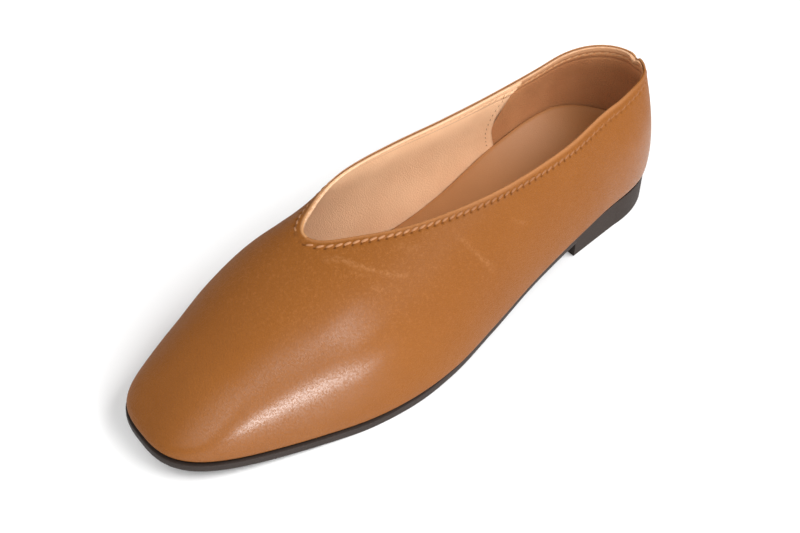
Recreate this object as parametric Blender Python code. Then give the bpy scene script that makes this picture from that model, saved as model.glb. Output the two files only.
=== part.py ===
"""Flat slip-on shoe for the left foot: lasted upper with a V throat, insole, thin outsole and low heel.

Sizes are in millimetres and become metres where a mesh is made. A station is a distance along the foot
from the back of the heel. The toe points to -Y, the outer side of the foot is +X and the floor is z = 0.
"""

import bmesh
import bpy
import numpy as np

MM = 0.001

# Length and ends of the last
LENGTH = 250.0
HEEL_ROUND = 29.0
HEEL_POWER = 2.1
TOE_ROUND = 29.0
TOE_POWER = 2.8
TOE_SKEW = 0.12
TOE_SKEW_FROM = 190.0
SPINE_BACK = 30.0
SPINE_FRONT = 220.0
THROAT = 165.0
MOST_OPEN = 0.97

# Upper leather
WALL = 1.8
FEATHER_ROUND = 2.5
LASTING_MARGIN = 11.0
BULGE_REACH = 1.25
BULGE_LOW = 0.7

# Sole pieces
SEAT_GAP = 0.3
OUTSOLE_THICK = 3.5
OUTSOLE_BEVEL = 1.2
BREAST = 54.0
HEEL_INSET = 0.5
HEEL_TAPER = 0.8
HEEL_BREAST_INNER = 25.0
HEEL_BREAST_OUTER = 25.5
HEEL_LIP = 0.6
INSOLE_GAP = 0.5
INSOLE_ROUND = 0.8
INSOLE_CHAMFER = 1.8
CUP_POWER = 1.8

# Middle of the finished shoe's box, which becomes the origin
BOX_MIDDLE_X = 3.98
BOX_MIDDLE_STATION = 124.57

# One row for each section of the last, from heel to toe. inner, outer: half widths at the feather line.
# feather: height of the feather line. rim: height of the outer topline or, past the throat, of the ridge of
# the vamp. lift: how much higher the inner topline is. open_in, open_out: share of the half width left open
# at the topline. ridge: sideways place of the ridge. square: how square the section is. swell_in, swell_out:
# how far the walls belly out. edge: how far the outsole stands out from the feather line.
COLUMNS = ("station", "inner", "outer", "feather", "rim", "lift", "open_in", "open_out", "ridge", "square",
           "swell_in", "swell_out", "edge")
SECTIONS = (
    (0, 24.5, 21.5, 14.0, 61.5, 0.0, 0.94, 0.94, 0.0, 2.3, 2.2, 2.2, -0.5),
    (10, 24.5, 21.65, 13.95, 60.75, 0.1, 0.90, 0.74, 0.0, 2.3, 2.25, 2.25, -0.5),
    (25, 24.5, 22.0, 13.8, 59.5, 0.4, 0.85, 0.65, 0.0, 2.3, 2.4, 2.4, -0.5),
    (55, 23.5, 26.5, 11.5, 57.0, 1.6, 0.88, 0.70, 0.0, 2.3, 3.0, 2.5, -1.5),
    (85, 23.0, 32.5, 8.6, 56.5, 2.8, 0.88, 0.645, -1.5, 2.2, 4.0, 2.5, -2.5),
    (110, 25.0, 39.0, 6.2, 57.0, 3.0, 0.84, 0.548, -5.0, 2.2, 3.2, 2.2, -2.0),
    (135, 30.0, 45.0, 4.5, 57.5, 1.8, 0.66, 0.42, -8.0, 2.2, 2.0, 1.8, -1.0),
    (155, 35.5, 46.5, 3.7, 57.2, -0.6, 0.33, 0.23, -7.5, 2.2, 1.5, 1.5, 0.0),
    (175, 38.7, 45.0, 3.7, 53.3, 0.0, 0.0, 0.0, -5.5, 2.2, 1.2, 1.2, 0.4),
    (195, 36.3, 40.5, 4.4, 46.5, 0.0, 0.0, 0.0, -2.5, 2.2, 1.0, 1.0, 0.5),
    (215, 30.3, 35.0, 5.9, 38.0, 0.0, 0.0, 0.0, 0.0, 2.2, 0.8, 0.8, 0.6),
    (235, 24.7, 29.0, 8.4, 29.0, 0.0, 0.0, 0.0, 0.5, 2.2, 0.7, 0.7, 0.6),
    (250, 24.0, 25.5, 10.2, 22.0, 0.0, 0.0, 0.0, 0.5, 2.2, 0.6, 0.6, 0.6),
)
TABLE = {name: np.array(values, float) for name, values in zip(COLUMNS, zip(*SECTIONS))}

# The moulded insole. bed: its thickness along the middle. cup_in, cup_out: how much higher its edges are.
BED_COLUMNS = ("station", "bed", "cup_in", "cup_out")
BED_SECTIONS = (
    (0, 7.0, 2.2, 2.2),
    (25, 8.0, 7.8, 2.5),
    (40, 7.6, 9.4, 2.4),
    (55, 7.0, 8.4, 2.0),
    (85, 4.5, 3.4, 1.0),
    (110, 3.2, 1.6, 0.5),
    (135, 2.7, 0.6, 0.3),
    (160, 2.4, 0.0, 0.0),
    (250, 2.3, 0.0, 0.0),
)
BED_TABLE = {name: np.array(values, float) for name, values in zip(BED_COLUMNS, zip(*BED_SECTIONS))}

# How finely the pieces are divided
UPPER_STATIONS = 44
WALL_ROWS = 12
SOLE_STATIONS = 46
HEEL_STATIONS = 16
SOLE_ACROSS = 6
FEATHER_ROWS = (0.0, 0.012, 0.035)
FIRST_WALL_ROW = 0.09
THROAT_STEPS = (0.0, 0.5, 2.0, 4.5, 8.0)
INSIDE_ROWS = np.linspace(0.05, 0.9, 40)
MERGE = 0.02
SLIVER = 0.001

# Finishes: colour as linear red, green and blue, and roughness
CARAMEL = (0.392, 0.139, 0.037), 0.42
TAN = (0.520, 0.250, 0.130), 0.5
BROWN_BLACK = (0.045, 0.030, 0.026), 0.55
GREY_BROWN = (0.076, 0.054, 0.048), 0.6


def clear_scene():
    for obj in list(bpy.data.objects):
        bpy.data.objects.remove(obj, do_unlink=True)


def finish(name, look):
    colour, roughness = look
    material = bpy.data.materials.new(name)
    material.use_nodes = True
    shader = material.node_tree.nodes["Principled BSDF"]
    shader.inputs["Base Color"].default_value = (*colour, 1.0)
    shader.inputs["Roughness"].default_value = roughness
    shader.inputs["Metallic"].default_value = 0.0
    return material


# The last: smooth columns, plan outline and wall

def smooth(stations, values, at):
    """Cubic through the rows, with the slope at each row taken from its neighbours."""
    at = np.clip(at, stations[0], stations[-1])
    steps = np.diff(stations)
    rises = np.diff(values) / steps
    slopes = np.concatenate([rises[:1], np.zeros(len(values) - 2), rises[-1:]])
    slopes[1:-1] = (rises[:-1] * steps[1:] + rises[1:] * steps[:-1]) / (steps[:-1] + steps[1:])
    row = np.clip(np.searchsorted(stations, at, side="right") - 1, 0, len(stations) - 2)
    step = steps[row]
    u = (at - stations[row]) / step
    from_values = (1 - u) ** 2 * ((1 + 2 * u) * values[row] + u * step * slopes[row])
    to_values = u ** 2 * ((3 - 2 * u) * values[row + 1] + (u - 1) * step * slopes[row + 1])
    return from_values + to_values


def column(name, at):
    return smooth(TABLE["station"], TABLE[name], at)


def footbed(name, at):
    return smooth(BED_TABLE["station"], BED_TABLE[name], at)


def to_throat(values, at):
    """Cubic through the rows behind the throat, which runs out to nothing there."""
    behind = TABLE["station"] < THROAT
    stations = np.append(TABLE["station"][behind], THROAT)
    return np.where(at < THROAT, smooth(stations, np.append(values[behind], 0.0), at), 0.0)


def opening(name, at):
    """Share of the half width that is open at the topline. Its square runs out, so the throat is round."""
    return np.sqrt(np.clip(to_throat(TABLE[name] ** 2, at), 0.0, MOST_OPEN ** 2))


def end_rounding(at, grow):
    """1 along the middle of the outline, down to 0 at its round ends, which lie grow further out."""
    back = np.clip(1 - (at + grow) / HEEL_ROUND, 0, 1)
    front = np.clip((at - LENGTH - grow + TOE_ROUND) / TOE_ROUND, 0, 1)
    heel = (1 - back ** HEEL_POWER) ** (1 / HEEL_POWER)
    toe = (1 - front ** TOE_POWER) ** (1 / TOE_POWER)
    return heel * toe


def half_width(side, at, grow=0.0):
    return (column("inner" if side < 0 else "outer", at) + grow) * end_rounding(at, grow)


def even_stations(count, back, front):
    """Stations that lie evenly along the outline, so that the round ends get their share."""
    fine = back + (front - back) * (1 - np.cos(np.linspace(0, np.pi, 2001))) / 2
    width = (half_width(-1, fine) + half_width(1, fine)) / 2
    run = np.concatenate([[0], np.cumsum(np.hypot(np.diff(fine), np.diff(width)))])
    return np.interp(np.linspace(0, run[-1], count + 1), run, fine)


def in_frame(x, station, z):
    """Points of the last moved to the shoe's own frame, in metres, with the toe's skew added."""
    lead = np.clip((station - TOE_SKEW_FROM) / (LENGTH - TOE_SKEW_FROM), 0, 1) ** 2
    forward = station + TOE_SKEW * x * lead
    return np.stack([x - BOX_MIDDLE_X, BOX_MIDDLE_STATION - forward, z], axis=-1) * MM


def wall_section(side, at, rows):
    """Outer face at each station: its edge, the way from there to the spine, the share gone and the height."""
    name = "in" if side < 0 else "out"
    edge_x = (side * half_width(side, at))[:, None]
    at = at[:, None]
    spine = np.clip(at, SPINE_BACK, SPINE_FRONT)
    power = 2 / column("square", spine)
    way = np.stack([column("ridge", spine) - edge_x, spine - at])
    reach = np.hypot(*way)
    rim_angle = np.arccos(opening("open_" + name, at) ** (1 / power))
    angle = rim_angle * rows
    inward = 1 - np.cos(angle) ** power
    section = at + way[1] * inward
    lift = to_throat(TABLE["lift"], at) if side < 0 else 0.0
    full_height = column("rim", section) + lift - column("feather", section)
    height = full_height * (np.sin(angle) / np.sin(rim_angle)) ** power
    share = np.clip(height / (BULGE_REACH * full_height), 0, 1)
    swell = column("swell_" + name, at) * np.sin(np.pi * share ** BULGE_LOW) * (1 - inward)
    low = np.clip(FEATHER_ROUND - height, 0, FEATHER_ROUND)
    turn = FEATHER_ROUND - np.sqrt(FEATHER_ROUND ** 2 - low ** 2)
    return edge_x, way, inward + (turn - swell) / reach, height


def upper_wall(side, at, rows):
    """Points of the outer face, a line for each station, from the turned-under margin up to the rim."""
    edge_x, way, shift, height = wall_section(side, at, rows)
    shift = np.concatenate([LASTING_MARGIN / np.hypot(*way), shift], axis=1)
    height = np.concatenate([np.zeros_like(edge_x), height], axis=1)
    station = at[:, None] + way[1] * shift
    return in_frame(edge_x + way[0] * shift, station, column("feather", station) + height)


def inside_edge(side, at, height, clear):
    """Plan points, as x and station, that lie clear of the outer face at a height over the feather line."""
    edge_x, way, shift, rise = wall_section(side, at, INSIDE_ROWS)
    reach = np.hypot(*way)
    run_step = np.gradient(shift * reach, axis=1)
    rise_step = np.gradient(rise, axis=1)
    step = np.hypot(run_step, rise_step)
    run = shift * reach + clear * rise_step / step
    rise = rise - clear * run_step / step
    at_height = [np.interp(*line) for line in zip(height, rise, run)]
    share = np.array(at_height) / reach[:, 0]
    return np.stack([edge_x[:, 0] + way[0, :, 0] * share, at + way[1, :, 0] * share])


# Mesh making

def mesh_from_lines(lines, capped=False):
    """A grid whose lines of points are given, with points that coincide made one."""
    columns, rows = lines.shape[:2]
    shape = bmesh.new()
    bmesh.ops.create_grid(shape, x_segments=columns - 1, y_segments=rows - 1, size=1.0)
    shape.verts.ensure_lookup_table()
    for index, point in enumerate(lines.transpose(1, 0, 2).reshape(-1, 3)):
        shape.verts[index].co = point
    bmesh.ops.remove_doubles(shape, verts=shape.verts, dist=MERGE * MM)
    bmesh.ops.dissolve_degenerate(shape, edges=shape.edges, dist=SLIVER * MM)
    if capped:
        bmesh.ops.holes_fill(shape, edges=shape.edges, sides=0)
    bmesh.ops.recalc_face_normals(shape, faces=shape.faces)
    return shape


def add_piece(name, shape, material):
    mesh = bpy.data.meshes.new(name)
    shape.to_mesh(mesh)
    shape.free()
    mesh.materials.append(material)
    mesh.shade_smooth()
    piece = bpy.data.objects.new(name, mesh)
    bpy.context.scene.collection.objects.link(piece)
    return piece


def make_upper():
    near_throat = THROAT - np.array(THROAT_STEPS)
    stations = np.sort(np.concatenate([even_stations(UPPER_STATIONS, 0, LENGTH), near_throat]))
    rows = np.concatenate([FEATHER_ROWS, np.linspace(FIRST_WALL_ROW, 1.0, WALL_ROWS)])
    inner = upper_wall(-1, stations, rows)
    outer = upper_wall(1, stations, rows)
    shape = mesh_from_lines(np.concatenate([inner[::-1], outer[1:]]))
    upper = add_piece("upper", shape, finish("caramel_leather", CARAMEL))
    wall = upper.modifiers.new("wall", "SOLIDIFY")
    wall.thickness = WALL * MM
    wall.offset = -1.0
    wall.use_even_offset = True
    return upper


def sole_level(outline, back, front, shares, grow, height):
    """One level of a sole piece: plan points of its inner and outer edge, and its height at a station."""
    at = back + (front - back) * shares
    inner, outer = outline(at, grow(at))
    return np.stack([inner, at]), np.stack([outer, at]), lambda station, across: height(station)


def sole_shape(levels):
    """A solid through levels given from top to bottom, as closed loops across it at each station."""
    run = np.linspace(0, 1, SOLE_ACROSS + 1)
    sides = levels[1:-1]
    walk = [(levels[0], run)] + [(level, run[-1:]) for level in sides]
    walk += [(levels[-1], run[::-1])] + [(level, run[:1]) for level in reversed(sides)]
    walk += [(levels[0], run[:1])]
    strips = []
    for (inner, outer, height), across in walk:
        x, station = inner[:, :, None] + (outer - inner)[:, :, None] * across
        strips.append(in_frame(x, station, height(station, across)))
    return mesh_from_lines(np.concatenate(strips, axis=1), capped=True)


def foot_outline(at, grow):
    return -half_width(-1, at, grow), half_width(1, at, grow)


def heel_outline(at, grow):
    """As the foot's outline round the back, then straight to the breast."""
    widths = []
    for side, name, breast in ((-1, "inner", HEEL_BREAST_INNER), (1, "outer", HEEL_BREAST_OUTER)):
        half = np.interp(at, [HEEL_ROUND, BREAST], [column(name, HEEL_ROUND), breast])
        widths.append(side * (half + grow) * end_rounding(at, grow))
    return widths


def make_outsole():
    def top(at):
        return column("feather", at) - SEAT_GAP

    def under(at):
        return np.maximum(top(at) - OUTSOLE_THICK, 0.0)

    def edge(at):
        return column("edge", at)

    back = BREAST + SEAT_GAP
    front = LENGTH + TABLE["edge"][-1]
    shares = (even_stations(SOLE_STATIONS, back, LENGTH) - back) / (LENGTH - back)
    shape = sole_shape((
        sole_level(foot_outline, back, front, shares, edge, top),
        sole_level(foot_outline, back, front, shares, edge, lambda at: under(at) + OUTSOLE_BEVEL),
        sole_level(foot_outline, back, front - OUTSOLE_BEVEL, shares,
                   lambda at: edge(at) - OUTSOLE_BEVEL, under),
    ))
    return add_piece("outsole", shape, finish("dark_sole", BROWN_BLACK))


def make_heel():
    def level(grow, height):
        return sole_level(heel_outline, -grow, BREAST, shares, lambda at: grow, height)

    shares = even_stations(HEEL_STATIONS, 0, BREAST) / BREAST
    foot = -HEEL_INSET - HEEL_TAPER
    shape = sole_shape((
        level(-HEEL_INSET, lambda at: column("feather", at) - SEAT_GAP),
        level(foot, lambda at: HEEL_LIP + 0 * at),
        level(foot - HEEL_LIP, lambda at: 0 * at),
    ))
    return add_piece("heel", shape, finish("dark_heel", GREY_BROWN))


def make_insole():
    def under(station, across):
        return column("feather", station) + WALL + SEAT_GAP

    def over(station, across):
        cup = np.where(across < 0.5, footbed("cup_in", station), footbed("cup_out", station))
        rise = footbed("bed", station) + cup * np.abs(2 * across - 1) ** CUP_POWER
        return under(station, across) + rise

    def edges(height, inset):
        feather = column("feather", stations)
        return [inside_edge(side, stations, height(stations, across) - feather, WALL + inset)
                for side, across in ((-1, 0.0), (1, 1.0))]

    def shoulder(station, across):
        return over(station, across) - INSOLE_ROUND

    def chamfer(station, across):
        return under(station, across) + INSOLE_CHAMFER

    stations = even_stations(SOLE_STATIONS, 0, LENGTH)
    shape = sole_shape((
        (*edges(over, INSOLE_GAP + INSOLE_ROUND), over),
        (*edges(shoulder, INSOLE_GAP), shoulder),
        (*edges(chamfer, INSOLE_GAP), chamfer),
        (*edges(under, INSOLE_GAP + INSOLE_CHAMFER), under),
    ))
    return add_piece("insole", shape, finish("tan_sock", TAN))


def main():
    clear_scene()
    make_upper()
    make_insole()
    make_outsole()
    make_heel()


main()
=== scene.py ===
# %% [markdown]
# # A flat slip-on shoe
# A left shoe: a soft caramel upper drawn over a last, pale lining, a moulded tan insole, a thin dark sole
# and a low heel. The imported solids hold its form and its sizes. This script dresses them with finer
# pieces of the same form, so that the folded edge, the stitches, the creases and the grain can be seen.

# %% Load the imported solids
import math

import bmesh
import bpy
import numpy as np
from mathutils import Matrix, Quaternion, Vector
from mathutils.bvhtree import BVHTree
from mathutils.kdtree import KDTree


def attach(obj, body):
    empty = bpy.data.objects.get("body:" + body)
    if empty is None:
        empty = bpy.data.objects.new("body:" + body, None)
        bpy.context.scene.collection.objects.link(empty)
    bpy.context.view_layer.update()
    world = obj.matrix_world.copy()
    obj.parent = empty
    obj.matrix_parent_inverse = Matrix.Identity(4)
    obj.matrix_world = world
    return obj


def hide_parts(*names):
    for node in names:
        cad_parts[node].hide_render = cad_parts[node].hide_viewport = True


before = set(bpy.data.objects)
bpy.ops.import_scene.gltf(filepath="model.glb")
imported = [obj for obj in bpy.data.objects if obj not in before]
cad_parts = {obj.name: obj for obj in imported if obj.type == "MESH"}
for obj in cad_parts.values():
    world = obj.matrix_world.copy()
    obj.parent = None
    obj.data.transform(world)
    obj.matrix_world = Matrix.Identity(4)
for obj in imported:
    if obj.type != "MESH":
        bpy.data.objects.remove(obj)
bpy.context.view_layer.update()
print("solids:", sorted(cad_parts))

# %% [markdown]
# ## The last
# A shoe takes its form from a last, the wooden foot that the leather is pulled over. The solids were
# worked out from a table of sections along the last, and the pieces here read the same table, so they sit
# where the solids are. The finer grid only divides the same surface more closely. Sizes are in
# millimetres, and a station is a distance along the foot from the back of the heel.

# %% Sizes of the last
MM = 0.001
LENGTH = 250.0
HEEL_ROUND = 29.0
HEEL_POWER = 2.1
TOE_ROUND = 29.0
TOE_POWER = 2.8
TOE_SKEW = 0.12
TOE_SKEW_FROM = 190.0
SPINE_BACK = 30.0
SPINE_FRONT = 220.0
THROAT = 165.0
MOST_OPEN = 0.97
WALL = 1.8
FEATHER_ROUND = 2.5
LASTING_MARGIN = 11.0
BULGE_REACH = 1.25
BULGE_LOW = 0.7
BOX_MIDDLE_X = 3.98
BOX_MIDDLE_STATION = 124.57

# inner, outer: half widths. feather: height where wall meets sole. rim: height of topline or vamp ridge.
# lift: how much higher the inner topline is. open: share of the half width left open. ridge: sideways place
# of the vamp ridge. square: how square a section is. swell: how far the walls belly. edge: how far the sole
# stands out.
COLUMNS = ("station", "inner", "outer", "feather", "rim", "lift", "open_in", "open_out", "ridge", "square",
           "swell_in", "swell_out", "edge")
SECTIONS = (
    (0, 24.5, 21.5, 14.0, 61.5, 0.0, 0.94, 0.94, 0.0, 2.3, 2.2, 2.2, -0.5),
    (10, 24.5, 21.65, 13.95, 60.75, 0.1, 0.90, 0.74, 0.0, 2.3, 2.25, 2.25, -0.5),
    (25, 24.5, 22.0, 13.8, 59.5, 0.4, 0.85, 0.65, 0.0, 2.3, 2.4, 2.4, -0.5),
    (55, 23.5, 26.5, 11.5, 57.0, 1.6, 0.88, 0.70, 0.0, 2.3, 3.0, 2.5, -1.5),
    (85, 23.0, 32.5, 8.6, 56.5, 2.8, 0.88, 0.645, -1.5, 2.2, 4.0, 2.5, -2.5),
    (110, 25.0, 39.0, 6.2, 57.0, 3.0, 0.84, 0.548, -5.0, 2.2, 3.2, 2.2, -2.0),
    (135, 30.0, 45.0, 4.5, 57.5, 1.8, 0.66, 0.42, -8.0, 2.2, 2.0, 1.8, -1.0),
    (155, 35.5, 46.5, 3.7, 57.2, -0.6, 0.33, 0.23, -7.5, 2.2, 1.5, 1.5, 0.0),
    (175, 38.7, 45.0, 3.7, 53.3, 0.0, 0.0, 0.0, -5.5, 2.2, 1.2, 1.2, 0.4),
    (195, 36.3, 40.5, 4.4, 46.5, 0.0, 0.0, 0.0, -2.5, 2.2, 1.0, 1.0, 0.5),
    (215, 30.3, 35.0, 5.9, 38.0, 0.0, 0.0, 0.0, 0.0, 2.2, 0.8, 0.8, 0.6),
    (235, 24.7, 29.0, 8.4, 29.0, 0.0, 0.0, 0.0, 0.5, 2.2, 0.7, 0.7, 0.6),
    (250, 24.0, 25.5, 10.2, 22.0, 0.0, 0.0, 0.0, 0.5, 2.2, 0.6, 0.6, 0.6),
)
TABLE = dict(zip(COLUMNS, np.array(SECTIONS, float).T))
print("last:", len(SECTIONS), "sections over", LENGTH, "mm")


# %% Smooth columns and the plan outline
def smooth(stations, values, at):
    """Cubic through the rows, with the slope at each row taken from its neighbours."""
    at = np.clip(at, stations[0], stations[-1])
    steps = np.diff(stations)
    rises = np.diff(values) / steps
    slopes = np.concatenate([rises[:1], np.zeros(len(values) - 2), rises[-1:]])
    slopes[1:-1] = (rises[:-1] * steps[1:] + rises[1:] * steps[:-1]) / (steps[:-1] + steps[1:])
    row = np.clip(np.searchsorted(stations, at, side="right") - 1, 0, len(stations) - 2)
    step = steps[row]
    u = (at - stations[row]) / step
    from_values = (1 - u) ** 2 * ((1 + 2 * u) * values[row] + u * step * slopes[row])
    to_values = u ** 2 * ((3 - 2 * u) * values[row + 1] + (u - 1) * step * slopes[row + 1])
    return from_values + to_values


def column(name, at):
    return smooth(TABLE["station"], TABLE[name], at)


def to_throat(values, at):
    """Cubic through the rows behind the throat, which runs out to nothing there."""
    behind = TABLE["station"] < THROAT
    stations = np.append(TABLE["station"][behind], THROAT)
    return np.where(at < THROAT, smooth(stations, np.append(values[behind], 0.0), at), 0.0)


def opening(name, at):
    """Share of the half width that is open at the topline. Its square runs out, so the throat is round."""
    return np.sqrt(np.clip(to_throat(TABLE[name] ** 2, at), 0.0, MOST_OPEN ** 2))


def end_rounding(at, grow):
    """1 along the middle of the outline, down to 0 at its round ends, which lie grow further out."""
    back = np.clip(1 - (at + grow) / HEEL_ROUND, 0, 1)
    front = np.clip((at - LENGTH - grow + TOE_ROUND) / TOE_ROUND, 0, 1)
    heel = (1 - back ** HEEL_POWER) ** (1 / HEEL_POWER)
    toe = (1 - front ** TOE_POWER) ** (1 / TOE_POWER)
    return heel * toe


def half_width(side, at, grow=0.0):
    return (column("inner" if side < 0 else "outer", at) + grow) * end_rounding(at, grow)


def running(steps):
    return np.concatenate([[0], np.cumsum(steps)])


def even_stations(count, back, front):
    """Stations that lie evenly along the outline, so that the round ends get their share."""
    fine = back + (front - back) * (1 - np.cos(np.linspace(0, np.pi, 2001))) / 2
    width = (half_width(-1, fine) + half_width(1, fine)) / 2
    run = running(np.hypot(np.diff(fine), np.diff(width)))
    return np.interp(np.linspace(0, run[-1], count + 1), run, fine)


def in_frame(x, station, z):
    """Points of the last moved to the shoe's own frame, in metres, with the toe's skew added."""
    lead = np.clip((station - TOE_SKEW_FROM) / (LENGTH - TOE_SKEW_FROM), 0, 1) ** 2
    forward = station + TOE_SKEW * x * lead
    return np.stack([x - BOX_MIDDLE_X, BOX_MIDDLE_STATION - forward, z], axis=-1) * MM


# %% The wall of the upper
def wall_section(side, at, rows):
    """Outer face: its edge, the way from there to the spine, the share of that way gone, and the height."""
    name = "in" if side < 0 else "out"
    edge_x = side * half_width(side, at)
    spine = np.clip(at, SPINE_BACK, SPINE_FRONT)
    power = 2 / column("square", spine)
    way = np.stack([column("ridge", spine) - edge_x, spine - at])
    reach = np.hypot(*way)
    rim_angle = np.arccos(opening("open_" + name, at) ** (1 / power))
    angle = rim_angle * rows
    inward = 1 - np.cos(angle) ** power
    section = at + way[1] * inward
    lift = to_throat(TABLE["lift"], at) if side < 0 else 0.0
    full_height = column("rim", section) + lift - column("feather", section)
    height = full_height * (np.sin(angle) / np.sin(rim_angle)) ** power
    share = np.clip(height / (BULGE_REACH * full_height), 0, 1)
    swell = column("swell_" + name, at) * np.sin(np.pi * share ** BULGE_LOW) * (1 - inward)
    low = np.clip(FEATHER_ROUND - height, 0, FEATHER_ROUND)
    turn = FEATHER_ROUND - np.sqrt(FEATHER_ROUND ** 2 - low ** 2)
    return edge_x, way, inward + (turn - swell) / reach, height


def wall_points(side, at, rows):
    """Points of the outer face for stations and shares of the way up that broadcast against each other."""
    edge_x, way, shift, height = wall_section(side, at, rows)
    station = at + way[1] * shift
    return in_frame(edge_x + way[0] * shift, station, column("feather", station) + height)


def margin_points(side, at):
    """Ends of the margin that is turned under the last and hidden by the sole."""
    edge_x, way, _, _ = wall_section(side, at, 0.0)
    shift = LASTING_MARGIN / np.hypot(*way)
    station = at + way[1] * shift
    return in_frame(edge_x + way[0] * shift, station, column("feather", station))


TINY = 1e-18
INSIDE_POINT = np.array([0.0, 0.0, 0.02])


def unit(vectors):
    return vectors / np.maximum(np.linalg.norm(vectors, axis=-1, keepdims=True), TINY)


def lattice_normals(points):
    """Unit normals of a lattice of points, taken from its neighbours and turned away from the inside."""
    normal = unit(np.cross(np.gradient(points, axis=0), np.gradient(points, axis=1)))
    return normal * np.sign(np.sum(normal * (points - INSIDE_POINT)))


# %% [markdown]
# ## Stations and rows
# The stitches along the topline are about 3 mm long, so the grid has to be close there, and it can be
# coarse on the plain vamp. The stations are therefore spread by how long each step is at the rim, and the
# rows are counted in millimetres down from the rim. A subdivision surface would refine everything alike
# and cost far more faces.

# %% Divide the upper
RIM_STEP = 0.55
BASE_STEP = 0.15
VAMP_STEP = 1.2
FINE_VAMP = 12.0
EASE_BACK = 20.0
EASE_THROAT = 12.0
NEAR_RIM_ROWS = np.arange(0.0, 7.2, 0.4)
BODY_ROWS = 44
BODY_CLOSER = 1.35
FOOT_RUN = 4.0
FOOT_ROWS = 9
PAST_FEATHER = 0.5


def spread(fine, steps):
    """Stations picked from a fine run, so that each takes an equal share of the steps."""
    run = running(steps)
    return np.interp(np.linspace(0, run[-1], int(run[-1]) + 2), run, fine)


def step_lengths(points):
    return np.linalg.norm(np.diff(points, axis=0), axis=-1) / MM


ease = np.linspace(0, 1, 900)
round_heel = EASE_BACK * ease ** 2
along_quarter = EASE_BACK + (THROAT - EASE_BACK - EASE_THROAT) * ease[1:]
to_the_throat = THROAT - EASE_THROAT * (1 - ease[1:]) ** 2
behind_throat = np.concatenate([round_heel, along_quarter, to_the_throat])
rim_steps = sum(step_lengths(wall_points(side, behind_throat, 1.0)) for side in (-1, 1)) / 2
base_steps = sum(step_lengths(wall_points(side, behind_throat, 0.1)) for side in (-1, 1)) / 2
QUARTER_STATIONS = spread(behind_throat, np.minimum(rim_steps / RIM_STEP, base_steps / BASE_STEP))

past_throat = even_stations(1500, THROAT, LENGTH)
vamp_steps = step_lengths(wall_points(1, past_throat, 0.1))
nearness = np.clip((past_throat[1:] - THROAT) / FINE_VAMP, 0, 1)
VAMP_STATIONS = spread(past_throat, vamp_steps / (RIM_STEP + (VAMP_STEP - RIM_STEP) * nearness))
STATIONS = np.concatenate([QUARTER_STATIONS, VAMP_STATIONS[1:]])
print("stations a side:", len(QUARTER_STATIONS), "behind the throat,", len(VAMP_STATIONS) - 1, "past it")


def down_the_wall(side, at):
    """Lines of points down the outer face at set runs below the rim, and on to the end of the margin."""
    shares = np.concatenate([np.linspace(1, 0.1, 140), np.linspace(0.1, 0, 60)[1:]])
    dense = wall_points(side, at[:, None], shares)
    dense = np.concatenate([dense, margin_points(side, at)[:, None]], axis=1)
    steps = np.linalg.norm(np.diff(dense, axis=1), axis=-1) / MM
    runs = np.concatenate([np.zeros((len(at), 1)), np.cumsum(steps, axis=1)], axis=1)
    near_end = NEAR_RIM_ROWS[-1]
    body_shares = np.linspace(0, 1, BODY_ROWS + 1)[1:] ** BODY_CLOSER
    lines = []
    for line, run in zip(dense, runs):
        foot = run[-2] - FOOT_RUN
        body = near_end + (foot - near_end) * body_shares
        last = np.linspace(foot, run[-2] + PAST_FEATHER, FOOT_ROWS + 1)[1:]
        wanted = np.concatenate([NEAR_RIM_ROWS, body, last, run[-1:]])
        lines.append(np.stack([np.interp(wanted, run, line[:, axis]) for axis in range(3)], axis=-1))
    return np.array(lines)


INNER_WALL = down_the_wall(-1, STATIONS)
OUTER_WALL = down_the_wall(1, STATIONS)
FACE = np.concatenate([INNER_WALL[::-1], OUTER_WALL[1:]])
HEEL_COLUMN = len(STATIONS) - 1
QUARTER = len(QUARTER_STATIONS) - 1
INNER_THROAT = HEEL_COLUMN - QUARTER
OUTER_THROAT = HEEL_COLUMN + QUARTER
print("outer face:", FACE.shape[0], "columns of", FACE.shape[1], "points")

# %% [markdown]
# ## Measuring from the topline
# Seams, stitches and creases follow the topline, so every point of the upper gets two measures: how far
# along the topline it lies, counted from the back seam, and how far below it. Both are kept on the meshes
# as attributes, and the finishes read them too. A UV map would do the same, but it has no seam-free
# layout here.

# %% The topline chart
FACE_NORMAL = lattice_normals(FACE)
vamp_columns = np.r_[0:INNER_THROAT + 1, OUTER_THROAT:len(FACE)]
FACE_NORMAL[vamp_columns, 0] = unit(FACE_NORMAL[vamp_columns, 1] + FACE_NORMAL[vamp_columns[::-1], 1])
FACE_NORMAL[0] = FACE_NORMAL[-1] = unit(FACE_NORMAL[1] + FACE_NORMAL[-2])
fan = np.abs(STATIONS - SPINE_FRONT).argmin()
past_fan = np.r_[0:HEEL_COLUMN - fan + 1, HEEL_COLUMN + fan:len(FACE)]
FACE_NORMAL[past_fan, 0] = FACE_NORMAL[HEEL_COLUMN + fan, 0]


def read_at(run, runs, values):
    """The vector at a distance along a path, read between its points."""
    return Vector([np.interp(run, runs, values[:, axis]) for axis in range(3)])


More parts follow.
